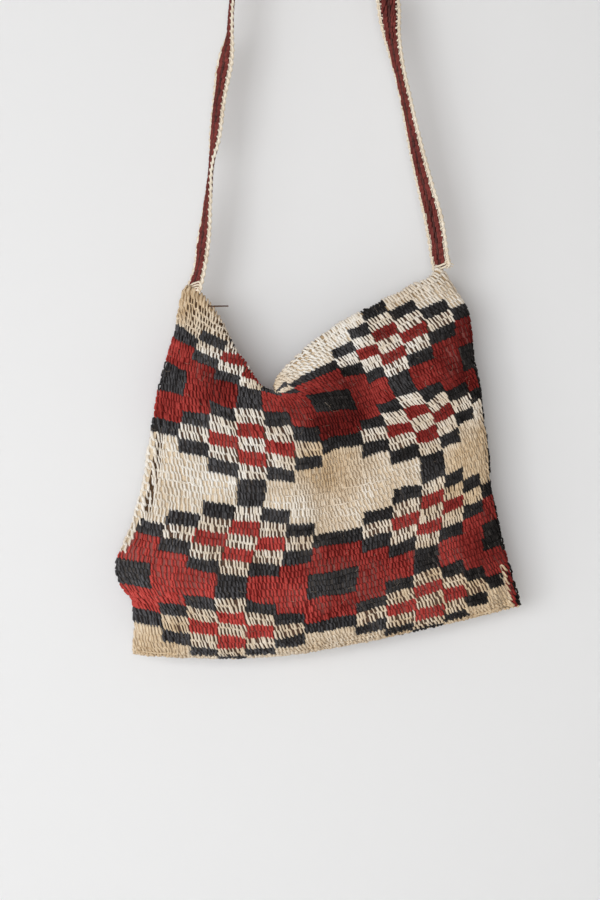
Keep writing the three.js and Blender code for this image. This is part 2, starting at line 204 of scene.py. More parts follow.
# Thin strands carried between the courses: zone, checks, how many wales they are long and apart, height
CARRIED = [
    (CREAM, np.arange(2, CHECKS), (7, 22), (2, 9), 1.75),
    (OPEN_PAINTED_SHADE, np.arange(0.5, 3, 0.5), (2, 5), (0, 0.4), 1.0),
    (MOUTH_EDGE_SHADE, np.arange(0.5, 1, 0.5), (4, 9), (0, 0.8), 1.0),
]
CARRIED_RINGS = 14
CARRIED_RADIUS = 0.55
CARRIED_FROM_WALE = 5
CARRIED_BESIDE = 0.3
CARRIED_WANDER = 0.05

# Loose fibres
FIBRES = 900
FIBRE_RINGS = 7
FIBRE_CHECKS = (0.3, CHECKS - 0.5)
FIBRE_LENGTH = (2.5, 8)
FIBRE_BEND = 0.5
FIBRE_RADIUS, FIBRE_TIP = (0.05, 0.085), 0.6
FIBRE_ROOT, FIBRE_RISE = 1.4, (0.2, 1.8)

# Loose end of twine
TAIL_WALE, TAIL_CHECK, TAIL_OUT = 6.0, 0.6, 0.6
TAIL_LENGTH, TAIL_DIRECTION = 24, np.array([1, -0.1, 0.005])
TAIL_RADIUS, TAIL_TIP, TAIL_RINGS = 0.72, 0.85, 8
TOWARDS_VIEW = [0, -1.0, 0]

# Strap route from the left corner over the peg to the right one: across, below, turn of its face in degrees
STRAP_LEFT = [
    (-89, 689, 45), (-83, 669, 56), (-79, 642, 55), (-75, 606, 72), (-71.5, 570, 82), (-69, 552, 64),
    (-65, 516, 57), (-58, 471, 52), (-55, 453, 76), (-54, 435, 82), (-47, 372, 70), (-27, 215, 78),
    (-8.6, 40, 90),
]
STRAP_RIGHT = [
    (9.4, 40, 88), (46, 215, 70), (80, 380, 40), (88.5, 426, -2), (91.5, 453, -45), (97, 480, -64),
    (105, 516, -67), (112.5, 552, -60), (121, 588, -52), (130, 624, -42), (136, 662, -45), (140, 682, -45),
]
PEG_TURN_ANGLES = [-68, -34, 0, 34, 66]
PEG_RADIUS = 6
PEG_TURN = 90
STRAP_WIDTH = 22
STRAP_THICKNESS = 3
STRAP_STEP = 0.5
TAPERS = (0.95, 0.56)
TAPER_LENGTH = 15
STRAP_TUCK, STRAP_LOOPS_TUCK = 3, 1

# Strap: a thin band, the loops of its red and dark wales, and edges wound over core strands
BAND_WIDTH, BAND_HALF_THICKNESS, BAND_RINGS = 16.4, 0.7, 401
BAND_WALES = 5
BAND_SHARE, BAND_END_AT, BAND_END_SIZE = [0.95, 1], ([0.97, 0.1], [0.97, 0.2]), 0.02
STRAP_COURSE = 5
STRAP_WALE = 3.3
STRAP_WALES = dict(red=(-1.5, -0.85, 0.85, 1.5), dark=(0,))
STRAP_LOOP_RADIUS = dict(red=1.25, dark=1.2)
STRAP_LOOP_ACROSS = 0.9
STRAP_LOOP_BASE, STRAP_LOOP_RISE, STRAP_LOOP_LIFT = 0.75, 0.5, 0.08
EDGE_TURN = 6.0
EDGE_TURN_STEPS = 8
EDGE_REACH = 2.4
EDGE_THROUGH = 1.3
EDGE_RADIUS, EDGE_RADIUS_SPREAD = 0.85, 0.1
EDGE_LEAN = 1.5
EDGE_CORES = (-1.4, 0.1, 1.5)
EDGE_CORE_RADIUS, EDGE_CORE_RINGS = 0.85, 301

# Lashings, and the short strand ends beside them
LASHINGS = dict(
    left=dict(tuck=6, length=3, turns=3.5, reach=9.4, through=2.4, lean=1.5, skew=5),
    right=dict(tuck=2.5, length=1.6, turns=1.5, reach=8.2, through=2.9, lean=1.5, skew=0),
)
LASHING_RADIUS = 0.95
TUFTS, TUFT_RINGS, TUFT_RADIUS = 7, 5, 0.5
TUFT_OVER, TUFT_ALONG, TUFT_BEHIND = (5, 8), (-3, 3), 1.6
TUFT_OVER_LEAN, TUFT_ALONG_LEAN, TUFT_BEHIND_LEAN = (0.5, 4), (-8, 8), (0, 2)

# Darker places in the twines' colour: a point in metres, its reach, and how much darker; most are painted
# shade
CREAM_SHADE_AND_TONE = [
    # Painted shade on the slant trough's flank, which faces away from the light
    ((0.03, -0.02, -0.835), 0.06, 0.9),
    # The left corner, facing away from the light: partly painted shade, partly tan twine
    ((-0.085, 0.0, -0.69), 0.085, 1.6),
    # Painted shade on the far right side
    ((0.165, -0.01, -0.85), 0.055, 0.8),
    # Darker low on the left
    ((-0.125, -0.02, -1.0), 0.06, 0.7),
    # Painted shade at the tip of the mouth's dip
    ((-0.016, 0.0, -0.774), 0.045, 1.3),
    # Painted shade at the top of the right arm
    ((0.11, 0.0, -0.7), 0.1, 0.35),
]
RED_SHADE_AND_TONE = [
    # The slant trough's flank: painted shade, partly a deeper dye
    ((0.045, -0.02, -0.805), 0.045, 0.8),
    # Darker left of the middle, high up
    ((-0.065, -0.02, -0.772), 0.04, 0.6),
    # Darker low in the middle
    ((0.05, -0.02, -0.95), 0.065, 0.35),
]
# Painted shade on the slant trough's flank
CHARCOAL_PAINTED_SHADE = [((0.045, -0.02, -0.79), 0.06, 0.6)]

# Twines: light and dark colour where they are pale, and where they are deep; change of paleness along X and
# Z, partly painted light from the left and partly uneven wear and dye; darker places, mostly painted shade;
# sheen
TWINES = dict(
    natural=(
        [(255, 254, 251), (240, 230, 214)], [(236, 214, 182), (196, 168, 132)],
        (-1.9, 3.2), CREAM_SHADE_AND_TONE, 0.1),
    red=([(216, 90, 83), (182, 64, 58)], [(124, 35, 31), (86, 23, 21)], (-1.6, -1.6), RED_SHADE_AND_TONE),
    charcoal=([(100, 99, 102), (52, 50, 51)], [(46, 43, 42), (20, 18, 18)], (-3.0, 0.0), CHARCOAL_PAINTED_SHADE),
    strap_red=([(152, 74, 68), (112, 54, 50)], [(112, 52, 48), (80, 40, 38)]),
    strap_dark=([(112, 66, 61), (80, 50, 47)], [(88, 54, 50), (60, 39, 37)]),
    strap_edge=([(255, 248, 234), (236, 220, 198)], [(246, 232, 210), (216, 198, 172)]),
    fibre=([(214, 200, 182), (170, 152, 134)], [(190, 170, 146), (150, 130, 110)]),
    brown=([(112, 82, 62), (82, 60, 46)], [(90, 66, 50), (70, 50, 38)], (0.0, 0.0), (), 0.05),
)

# Sockets of the mix node for colours
COLOUR_A, COLOUR_B, MIXED = 6, 7, 2

# Twine surface, in metres: plies (turns a mm of twine), noise from loops to fibres (scale, detail), shares
PLIES, PLY_TURNS = 2, 0.55
LOOP_NOISE, PATCH_NOISE, FIBRE_NOISE, NOISE_MIDDLE = (260, 1), (38, 3), (1900, 2), 0.5
SHADE_LOOPS, SHADE_PATCHES, SHADE_FIBRE, SHADE_LESS = 0.9, 0.6, 0.3, 0.4
DARK_STOP, LIGHT_STOP = 0.25, 0.75
# Paleness of the twines: its base, its share from patches of uneven wear, and the height where Z changes
# nothing
PALENESS, WEAR_PATCHES, LEAN_MIDDLE_HEIGHT = 0.7, 0.9, -0.88
# Painted shade on the far right side: from and to X in metres, and how much darker
SHADED_EDGE, EDGE_PAINTED_SHADE = (0.13, 0.18), 0.25
DEEP_PLY, DEEP_FIBRE = 0.16, 0.12
TWINE_ROUGHNESS, FIBRE_ROUGHNESS = 0.86, 0.1
BUMP_PLY, BUMP_FIBRE, TWINE_BUMP, TWINE_BUMP_STRENGTH, INSIDE_BUMP = 0.7, 0.5, 0.00012, 0.8, 0.0012

# Ground between the loops, by zone: colour, deep colour, darker places, lint; its colours are darker than
# the loops partly as painted shade in the gaps, and the open and mouth-edge zones are wholly painted shade.
# Then
# the inside, by twine: colour, and its darker colour, painted shade in the hollows between the ribs
GROUNDS = dict(
    ground_natural=((236, 220, 196), (202, 180, 150)),
    ground_red=((158, 47, 42), (78, 22, 19), RED_SHADE_AND_TONE, (168, 108, 101)),
    ground_charcoal=((54, 50, 49), (36, 33, 33), (), (96, 90, 86)),
    ground_floats=((116, 90, 74), (72, 56, 46)),
    ground_open_painted_shade=((114, 88, 64), (74, 56, 40)),
    ground_mouth_edge_shade=((204, 178, 144), (170, 144, 112)),
)
INSIDES = dict(
    inside_natural=((224, 206, 174), (150, 124, 90)),
    inside_red=((150, 44, 40), (66, 22, 22)),
    inside_charcoal=((70, 70, 71), (30, 29, 29)),
)
STRAP_GROUND = (84, 30, 28), (40, 22, 22)
GROUND_NOISE, GROUND_SHARE = 400, 0.5
LINT_NOISE, LINT_RISE, LINT_SHARE = (20, 3), (0.46, 0.6), 0.6
RIB_WAVE, RIB_HEIGHT, COURSE_HEIGHT = 0.18, 0.7, 0.3
# Inside: noise scale, share of painted shade in the hollows between the ribs, share of grain
INSIDE_NOISE, INSIDE_HOLLOW_SHADE, INSIDE_GRAIN = 300, 0.8, 0.3

# Stage, in metres, and its paint
WALL_Y, WALL_TOP = 0.037, 2.2
FLOOR_Z, STAGE_REACH = -1.9, 4.0
WALL_PAINT, FLOOR_PAINT = (240, 240, 241), (232, 231, 229)
FLOOR_NOISE, FLOOR_ROUGHNESS, FLOOR_GRAIN = 30, 0.75, 0.15

# Camera: its place in metres, level and square to the wall; lens and sensor
CAMERA_AT = (0.00846, -1.812, -0.8307)
LENS = 80
SENSOR = 36

# Light, in metres: a wide window in front, a lower one on the left, and the room's glow
WINDOW_AIM = (0.05, 0.0, -0.85)
WINDOWS = dict(
    wide_window=dict(at=(-0.85, -2.6, -0.85), size=(2.8, 1.4), power=47.5),
    side_window=dict(at=(-2.2, -1.9, -1.6), size=(1.6, 1.6), power=12.5),
)
WINDOW_COLOUR = (0.965, 0.985, 1.0)
ROOM_COLOUR = (1.0, 0.945, 0.88, 1)
ROOM_GLOW = 0.3


# Curves and directions

def knot_shares(knots, at):
    """Share of each knot in a smooth curve through uneven knots."""
    knots = np.asarray(knots, float)
    place = np.clip(at, knots[0], knots[-1])
    piece = np.clip(np.searchsorted(knots, place, side="right") - 1, 0, len(knots) - 2)
    width = (knots[piece + 1] - knots[piece])[..., None]
    t = (place - knots[piece])[..., None] / width
    value = np.eye(len(knots))
    slope = np.gradient(value, knots, axis=1).T
    start = (1 + 2 * t) * (1 - t) ** 2 * value[piece] + t * (1 - t) ** 2 * width * slope[piece]
    end = (3 - 2 * t) * t**2 * value[piece + 1] - t**2 * (1 - t) * width * slope[piece + 1]
    return start + end


def seeded(name):
    return np.random.default_rng(SEEDS[name])


def smooth(knots, values, at):
    return knot_shares(knots, np.asarray(at, float)) @ np.asarray(values, float)


def unit(vectors):
    return vectors / np.maximum(np.linalg.norm(vectors, axis=-1, keepdims=True), 1e-9)


def within(values, limits):
    return (values > limits[0]) & (values < limits[1])


def ease(start, end, at):
    share = np.clip((at - start) / (end - start), 0, 1)
    return share * share * (3 - 2 * share)


# Strap route

class StrapPath:
    """The strap's middle line and the directions of its band, by the length along it."""

    def __init__(self):
        radius = PEG_RADIUS + STRAP_THICKNESS / 2
        turns = np.radians(PEG_TURN_ANGLES)
        peg = [(radius * np.sin(a), PEG_RADIUS - radius * np.cos(a), PEG_TURN) for a in turns]
        self.across, self.below, self.turn = np.array([*STRAP_LEFT, *peg, *STRAP_RIGHT], float).T
        steps = np.hypot(np.diff(self.across), np.diff(self.below))
        self.knots = join([[0], np.cumsum(steps)])
        self.length = self.knots[-1]

    def point(self, length):
        across = smooth(self.knots, self.across, length)
        return np.stack([across, 0 * across, -smooth(self.knots, self.below, length)], -1)

    def tangent(self, length):
        return unit(self.point(length + STRAP_STEP) - self.point(length - STRAP_STEP))

    def directions(self, length):
        """Across the width and through the thickness of the band."""
        tangent = self.tangent(length)
        turn = np.radians(smooth(self.knots, self.turn, length))[..., None]
        level = np.array([0.0, 1.0, 0.0])
        wide = np.cos(turn) * unit(np.cross(level, tangent)) - np.sin(turn) * level
        return wide, np.cross(wide, tangent)

    def place(self, length, across, through):
        """A place on the band, which tapers towards its two ends."""
        wide, thick = self.directions(length)
        for taper, from_end in zip(TAPERS, (length, self.length - length)):
            across = across * (taper + (1 - taper) * ease(0, TAPER_LENGTH, from_end))
        return self.point(length) + wide * across[..., None] + thick * np.asarray(through)[..., None]


# Hanging cloth

class Face:
    """A face of the pouch: side (-1 front, 1 back), courses and turned-in mouth."""

    def __init__(self, side, courses, turn_in):
        self.side, self.turn_in = side, turn_in
        _, self.depths, self.across, self.below = (np.array(column, float) for column in zip(*courses))


COURSE_CHECKS = [course[0] for course in FRONT_COURSES]
LOWER_COURSES = zip(FRONT_COURSES[len(BACK_TOP_COURSES):], BACK_LOWER_DEPTHS)
BACK_COURSES = BACK_TOP_COURSES + [(check, depth, *lines) for (check, _, *lines), depth in LOWER_COURSES]
FRONT = Face(-1, FRONT_COURSES, FRONT_TURN_IN)
BACK = Face(1, BACK_COURSES, BACK_TURN_IN)


def off_middle(wale):
    return wale / (FACE_WALES / 2) - 1


def fullness(wale):
    return np.sqrt(np.maximum(0, 1 - np.abs(off_middle(wale)) ** SIDE_FULLNESS))


def face_points(face, wale, check):
    """Places on a face whose mouth isn't turned in yet."""
    bottom = CHECKS - UNDER_CHECK
    under = np.maximum(0, (check - UNDER_CHECK) / bottom) * np.pi / 2
    above = np.minimum(check, UNDER_CHECK)
    down = knot_shares(COURSE_CHECKS, above + bottom * np.sin(under))
    along = knot_shares(LINE_WALES, wale)
    tables = face.across, face.below
    across, below = (np.einsum("...c,cl,...l->...", down, table, along) for table in tables)
    depth = smooth(COURSE_CHECKS, face.depths, above)
    return np.stack([across, face.side * depth * np.cos(under) * fullness(wale), -below], -1)


def outward(face, wale, check):
    """Level direction out of the pouch."""
    left, right = (face_points(face, np.full_like(wale, w), check)[..., 0] for w in (0, FACE_WALES))
    sideways = SIDE_FULLNESS * off_middle(wale) ** (SIDE_FULLNESS - 1) / ((right - left) / 2)
    forward = face.side * 2 * fullness(wale) / smooth(COURSE_CHECKS, face.depths, check)
    return unit(np.stack([sideways, forward, 0 * wale], -1))


def cloth_points(face, wale, check):
    """Places on the hanging cloth: past the mouth roll it goes down again inside."""
    turn = np.maximum(LEAST_TURN_IN, smooth(*face.turn_in, wale))
    top = face_points(face, wale, turn)
    up = unit(face_points(face, wale, turn - STEP_IN_CHECKS) - top)
    past = np.maximum(0, turn - check) * CHECK_HEIGHT
    angle = np.minimum(past / ROLL_RADIUS, np.pi)
    hanging = np.maximum(0, past - np.pi * ROLL_RADIUS) * TURNED_IN_SHARE
    turned = top + up * (ROLL_RADIUS * np.sin(angle) - hanging)[..., None]
    turned -= outward(face, wale, turn) * (ROLL_RADIUS * (1 - np.cos(angle)))[..., None]
    return np.where((check >= turn)[..., None], face_points(face, wale, check), turned)


def crease_depth(wale, check):
    """How far the creases press the cloth in."""
    depth = np.zeros_like(check)
    scale = np.array([1, CHECK_HEIGHT / WALE_WIDTH])
    for points, half_width, pressed in CREASES.values():
        line = np.array(points, float) * scale
        near = np.where(wale - line[0, 0] > WALES / 2, wale - WALES, wale)
        point = np.stack([near, check], -1) * scale
        away = np.full_like(check, np.inf)
        for start, end in zip(line[:-1], line[1:]):
            along = end - start
            share = np.clip((point - start) @ along / (along @ along), 0, 1)[..., None]
            away = np.minimum(away, np.linalg.norm(point - start - share * along, axis=-1))
        depth += pressed * np.exp(-((away / half_width) ** 2))
    return depth


class Cloth:
    """The hanging cloth and its outward directions, on a lattice of wales and quarter checks."""

    def __init__(self, strap):
        self.rows = round(CHECKS / LATTICE) + 1
        self.wale, row = np.indices((WALES, self.rows), float)
        self.check = row * LATTICE
        front = cloth_points(FRONT, np.minimum(self.wale, FACE_WALES), self.check)
        back = cloth_points(BACK, np.minimum(WALES - self.wale, FACE_WALES), self.check)
        self.points = np.where((self.wale <= FACE_WALES)[..., None], front, back)
        self.ease_gather()
        self.draw_up(strap.tangent(0.0), **LEFT_NECK)
        self.draw_up(-strap.tangent(strap.length), **RIGHT_NECK)
        self.points = self.points - self.outward() * crease_depth(self.wale, self.check)[..., None]
        self.normals = self.past_bottom(self.outward())
        self.points = self.past_bottom(self.points)

    def ease_gather(self):
        """Evens the gather out, sideways and up alone."""
        away = ((self.wale - GATHER_WALE) / GATHER_WALES) ** 2
        away += ((self.check - GATHER_CHECK) / GATHER_CHECKS) ** 2
        share = np.where(away < GATHER_REACH**2, GATHER_SHARE * np.exp(-away), 0)[..., None]
        share = share * np.array([1, 0, 1])
        for _ in range(GATHER_PASSES):
            tall = np.pad(self.points, ((0, 0), (1, 1), (0, 0)), mode="edge")
            sides = np.roll(self.points, 1, 0) + np.roll(self.points, -1, 0)
            middle = (sides + tall[:, :-2] + tall[:, 2:]) / 4
            self.points = self.points + share * (middle - self.points)

    def draw_up(self, pull, wale, reach):
        wales = np.abs(self.wale - wale)
        away = np.minimum(wales, WALES - wales) / reach
        near = np.exp(-(away**2) - (self.check / NECK_CHECKS) ** 2)
        self.points = self.points + NECK_PULL * near[..., None] * pull

    def past_bottom(self, values):
        """Two more rows, up the other face past the bottom fold."""
        mirror = (-np.arange(WALES)) % WALES
        return join([values, values[mirror][:, -2:-4:-1]], axis=1)

    def outward(self):
        tall = self.past_bottom(self.points)
        round_it = np.roll(tall, -1, 0) - np.roll(tall, 1, 0)
        return unit(np.cross(np.gradient(tall, axis=1), round_it))[:, : self.rows]

    def at(self, wale, check):
        """Places and outward directions at any wales and checks."""
        row = np.asarray(check) / LATTICE
        low = np.clip(np.floor(row).astype(int), 0, self.points.shape[1] - 2)
        down = (row - low)[..., None]
        left = np.floor(wale).astype(int)
        over = (wale - left)[..., None]
        left, right = left % WALES, (left + 1) % WALES
        corners = [(left, low, (1 - over) * (1 - down)), (right, low, over * (1 - down))]
        corners += [(left, low + 1, (1 - over) * down), (right, low + 1, over * down)]
        lattices = self.points, self.normals
        place, out = (sum(lattice[w, r] * share for w, r, share in corners) for lattice in lattices)
        return place, unit(out)


# Chart of the colours

def zones(wale, check):
    """Steps from a diamond's column, if diamonds are there, their twine, and the plain colour."""
    twist = TWIST * ease(*TWIST_WALES, wale) * ease(*TWIST_CHECKS, check)
    wale = wale + twist * (wale <= FACE_WALES)
    off = np.abs((wale - DIAMOND_WALE + DIAMOND_PERIOD / 2) % DIAMOND_PERIOD - DIAMOND_PERIOD / 2)
    step = np.searchsorted(STEP_WALES, off, side="right")
    band = np.floor((check - DIAMOND_TOP) / BAND_CHECKS).astype(int)
    row = np.floor(check - DIAMOND_TOP - band * BAND_CHECKS).astype(int)
    band = np.where(row < DIAMOND_CHECKS // 2, band - 1, band)
    diamond = DIAMOND[step, np.minimum(row, DIAMOND_CHECKS - 1)]
    return step, row < DIAMOND_CHECKS, diamond, np.where(band % 2 == 0, RED, CREAM)


def chart(wale, check):
    """Colour of the twine at wales and checks."""
    step, in_diamonds, diamond, plain = zones(wale, check)
    block = (step == 0) | ((step == len(STEP_WALES)) & (plain == RED))
    between = np.where(block, CHARCOAL, plain)
    colour = np.where(in_diamonds, np.where(diamond == OUTSIDE, plain, diamond), between)
    return side_strands(wale, check, colour)


def side_strands(wale, check, colour):
    """Colours with those of the strands carried up the two sides."""
    off = (wale + FACE_WALES) % WALES - FACE_WALES
    for from_wale, to_wale, from_check, to_check, shade in SIDE_STRANDS:
        at = wale if from_wale > FACE_WALES / 2 else off
        inside = (at >= from_wale) & (at < to_wale) & (check >= from_check) & (check < to_check)
        colour = np.where(inside, shade, colour)
    return colour


def groove_share(check):
    """1 along the sharp fold, 0 past its two ends."""
    start, end = (ease(at - GROOVE_END, at + GROOVE_END, check) for at in GROOVE_CHECKS)
    return start - end


def groove(wale, check):
    """How far the sharp fold is pressed in."""
    return GROOVE_DEPTH * groove_share(check) * np.exp(-(((wale - GROOVE_WALE) / GROOVE_HALF_WIDTH) ** 2))


def drawn_together(wale, check):
    """How many wales the loops beside the sharp fold lean over it."""
    off = wale - GROOVE_WALE
    return -GROOVE_CLOSING * groove_share(check) * off * np.exp(1 - np.abs(off))


def in_groove(wale, check):
    return (np.abs(wale - GROOVE_WALE) < GROOVE_BARE) & within(check, GROOVE_CHECKS)


def ground_zone(wale, check):
    """What shows between the loops: a twine's colour, or a zone of its own, some of them painted shade."""
    _, in_diamonds, diamond, _ = zones(wale, check)
    patterned = in_diamonds & (diamond == CREAM)
    corner = within(check, CORNER_CHECKS) & within(wale, CORNER_WALES)
    # The open corner and the bare fold: a dark ground painted as shade
    dark = corner | in_groove(wale, check)
    # The mouth's edge: a tan ground painted as shade
    mouth_edge_shade = check < DIAMOND_TOP
    colour = chart(wale, check)
    natural = np.select([dark, mouth_edge_shade, patterned], [OPEN_PAINTED_SHADE, MOUTH_EDGE_SHADE, FLOATS], CREAM)
    return np.where(colour == CREAM, natural, colour)


def waves(wale, check, way):
    """Smooth unevenness that meets itself round the pouch."""
    seed, size = UNEVEN[way]
    draws = np.random.default_rng(seed)
    total = 0
    for _ in range(WAVES):
        round_it, down = draws.integers(*WAVES_ROUND) / WALES, draws.uniform(*WAVES_DOWN) / CHECKS
        start = draws.uniform(0, FULL_TURN)
        total = total + np.sin(FULL_TURN * (wale * round_it + check * down) + start)
    return total / np.sqrt(WAVES / 2) * size


# Meshes from arrays

def link(name, data):
    made = bpy.data.objects.new(name, data)
    scene.collection.objects.link(made)
    return made


def mesh_object(name, points, faces, maps, finishes, finish_rows=None):
    """An object from points in mm, quads, and maps as (name, corner places) pairs."""
    mesh = bpy.data.meshes.new(name)
    mesh.vertices.add(len(points))
    mesh.vertices.foreach_set("co", np.ravel(points) * MM)
    mesh.loops.add(faces.size)
    mesh.loops.foreach_set("vertex_index", faces.ravel().astype(np.int32))
    mesh.polygons.add(len(faces))
    mesh.polygons.foreach_set("loop_start", np.arange(0, faces.size, faces.shape[1], dtype=np.int32))
    mesh.polygons.foreach_set("use_smooth", np.ones(len(faces), bool))
    for finish in finishes:
        mesh.materials.append(finish)
    if finish_rows is not None:
        mesh.polygons.foreach_set("material_index", finish_rows.astype(np.int32))
    mesh.update(calc_edges=True)
    for map_name, places in maps:
        layer = mesh.uv_layers.new(name=map_name)
        layer.data.foreach_set("uv", np.ravel(places).astype(np.float32))
    mesh.uv_layers[maps[0][0]].active_render = True
    return link(name, mesh)


def quads(first, second):
    """Corners of every cell of a grid, as pairs of counts, in the order of a quad."""
    cells = np.moveaxis(np.indices((first, second)), 0, -1)
    return (cells[:, :, None] + SQUARE[:, ::-1]).reshape(-1, 4, 2)


def strand_faces(count, rings):
    """Quads of many closed strands, and the ring and side of each corner of one strand's wall."""
    corners = quads(rings - 1, SIDES)[:, ::-1]
    wall = corners[..., 0] * SIDES + corners[..., 1] % SIDES
    one = join([wall, STRAND_END, (rings - 1) * SIDES + STRAND_END[:, ::-1]])
    faces = np.arange(count)[:, None, None] * rings * SIDES + one
    return faces.reshape(-1, 4), corners


def strand_maps(corners, along):
    """The twine's own map, round it and along it in mm, and its bake map."""
    count, rings = along.shape
    walls, ends = len(corners), 2 * len(STRAND_END)
    ring, round_it = corners[..., 0], corners[..., 1] / SIDES
    twine = np.zeros((count, walls + ends, 4, 2))
    twine[:, :walls, :, 0] = round_it
    twine[:, :walls, :, 1] = along[:, ring]
    wall = WALL_AT + WALL_SIZE * np.stack([round_it, ring / (rings - 1)], -1)
    end = [END_AT + END_STEP * place + END_SIZE * SQUARE[::-1] for place in range(ends)]
    own = join([wall, end])
    cells = int(np.ceil(np.sqrt(count)))
    place = np.arange(count)
    cell = np.stack([place % cells, place // cells], -1)[:, None, None]
    return [("twine", twine), ("OFBake", (cell + own) / cells)]


def strands(name, points, ups, radii, seed, twine):
    """Many round strands as one object: points are (strand, ring, 3), and ups and radii spread over them."""
    count, rings = points.shape[:2]
    radii = np.broadcast_to(radii, (count, rings))
    tangent = unit(np.gradient(points, axis=1))
    side = unit(np.cross(tangent, ups))
    up = np.cross(side, tangent)
    turn = np.arange(SIDES) * FULL_TURN / SIDES
    spread = side[:, :, None] * np.cos(turn)[:, None] + up[:, :, None] * np.sin(turn)[:, None]
    skin = points[:, :, None] + spread * radii[:, :, None, None]
    steps = np.linalg.norm(np.diff(points, axis=1), axis=-1)
    along = join([np.zeros((count, 1)), np.cumsum(steps, axis=1)], axis=1)
    along = along + seeded(seed).uniform(*TWIST_STARTS, (count, 1))
    faces, corners = strand_faces(count, rings)
    return mesh_object(name, skin.reshape(-1, 3), faces, strand_maps(corners, along), [TWINE[twine]])


# Materials

def linear(colour):
    """Socket colour from 0-255 values, by the sRGB curve."""
    share = np.array(colour) / 255
    return (*np.where(share <= 0.04045, share / 12.92, ((share + 0.055) / 1.055) ** 2.4), 1.0)


class Wire:
    """An output of a node. Sums of wires and numbers add Math nodes."""

    def __init__(self, finish, socket):
        self.finish, self.socket = finish, socket

    def _sum(self, operation, *values):
        return self.finish.node("Math", dict(enumerate(values)), operation=operation)

    def __add__(self, other):
        return self._sum("ADD", self, other)

    def __sub__(self, other):
        return self._sum("SUBTRACT", self, other)

    def __rsub__(self, other):
        return self._sum("SUBTRACT", other, self)

    def __mul__(self, other):
        return self._sum("MULTIPLY", self, other)

    __radd__, __rmul__ = __add__, __mul__

    def sine(self):
        return self._sum("SINE", self)

    def size(self):
        return self._sum("ABSOLUTE", self)

    def as_share(self):
        """From -1 and 1 to 0 and 1."""
        return self * 0.5 + 0.5


class Finish:
    """A material and the nodes that make it."""

    def __init__(self, name):
        self.material = bpy.data.materials.new(name)
        self.material.use_nodes = True
        self.nodes, self.links = self.material.node_tree.nodes, self.material.node_tree.links
        self.shader = self.nodes["Principled BSDF"]

    def node(self, kind, sockets=None, output=0, **settings):
        made = self.nodes.new("ShaderNode" + kind)
        for key, value in settings.items():
            setattr(made, key, value)
        for key, value in (sockets or {}).items():
            self.put(made.inputs[key], value)
        return Wire(self, made.outputs[output])

    def put(self, socket, value):
        if isinstance(value, Wire):
            self.links.new(value.socket, socket)
        else:
            socket.default_value = value

    def surface(self, **sockets):
        for key, value in sockets.items():
            self.put(self.shader.inputs[key.replace("_", " ")], value)

    def place(self):
        return self.node("TexCoord", output="Object")

    def noise(self, scale, detail=2):
        return self.node("TexNoise", {"Vector": self.place(), "Scale": scale, "Detail": detail})

    def mix(self, share, first, second):
        sockets = {"Factor": share, COLOUR_A: first, COLOUR_B: second}
        return self.node("Mix", sockets, MIXED, data_type="RGBA")

    def shades(self, value, light, dark):
        ramp = self.node("ValToRGB", {"Fac": value})
        stops = ramp.socket.node.color_ramp.elements
        for stop, place, colour in zip(stops, (DARK_STOP, LIGHT_STOP), (dark, light)):
            stop.position, stop.color = place, linear(colour)
        return ramp

    def axes(self, vector, names="XY"):
        split = self.node("SeparateXYZ", {"Vector": vector}).socket.node
        return [Wire(self, split.outputs[name]) for name in names]

    def map_axes(self, name):
        return self.axes(self.node("UVMap", uv_map=name))

    def rise(self, value, start, end):
        """0 before the start, 1 after the end."""
        sockets = {"Value": value, "From Min": start, "From Max": end}
        return self.node("MapRange", sockets, interpolation_type="SMOOTHSTEP")

    def less_near(self, value, places):
        """A value that is lower near each place."""
        for point, reach, deep in places:
            away = self.node("VectorMath", {0: self.place(), 1: point}, "Value", operation="DISTANCE")
            value = value - (1 - self.rise(away, 0.0, reach)) * deep
        return value

    def limit(self, value):
        return self.node("Clamp", {"Value": value})

    def bump(self, height, distance, strength=1.0):
        return self.node("Bump", {"Height": height, "Distance": distance, "Strength": strength})


def twine_finish(name, pale, deep, lean=(0.0, 0.0), places=(), sheen=0.0):
    """Two-ply twine, paler where worn, with painted light and shade, and shades from loop to loop and in
    patches.
    """
    finish = Finish(name)
    round_it, along = finish.map_axes("twine")
    ply = ((round_it * PLIES + along * PLY_TURNS) * FULL_TURN).sine().as_share()
    loops, patches, fibre = (finish.noise(*noise) for noise in (LOOP_NOISE, PATCH_NOISE, FIBRE_NOISE))
    shade = loops * SHADE_LOOPS + patches * SHADE_PATCHES + fibre * SHADE_FIBRE - SHADE_LESS
    across, height = finish.axes(finish.place(), "XZ")
    # Paler to the left, where light falls, and by height: partly painted light, partly uneven dye and wear
    wear_and_light = PALENESS + across * lean[0] + (height - LEAN_MIDDLE_HEIGHT) * lean[1]
    wear_and_light = wear_and_light + (patches - NOISE_MIDDLE) * WEAR_PATCHES
    # Painted shade: darker towards the far right, which faces away from the light
    wear_and_light = wear_and_light - finish.rise(across, *SHADED_EDGE) * EDGE_PAINTED_SHADE
    # Darker places, most of them painted shade
    wear_and_light = finish.less_near(wear_and_light, places)
    deep_and_shaded = finish.shades(shade, *deep)
    body = finish.mix(finish.limit(wear_and_light), deep_and_shaded, finish.shades(shade, *pale))
    colour = finish.mix(ply * DEEP_PLY + fibre * DEEP_FIBRE, body, deep_and_shaded)
    relief = finish.bump(ply * BUMP_PLY + fibre * BUMP_FIBRE, TWINE_BUMP, TWINE_BUMP_STRENGTH)
    finish.surface(Base_Color=colour, Normal=relief, Roughness=TWINE_ROUGHNESS + fibre * FIBRE_ROUGHNESS)
    finish.surface(Sheen_Weight=sheen, Sheen_Roughness=0.6, Specular_IOR_Level=0.12)
    return finish.material


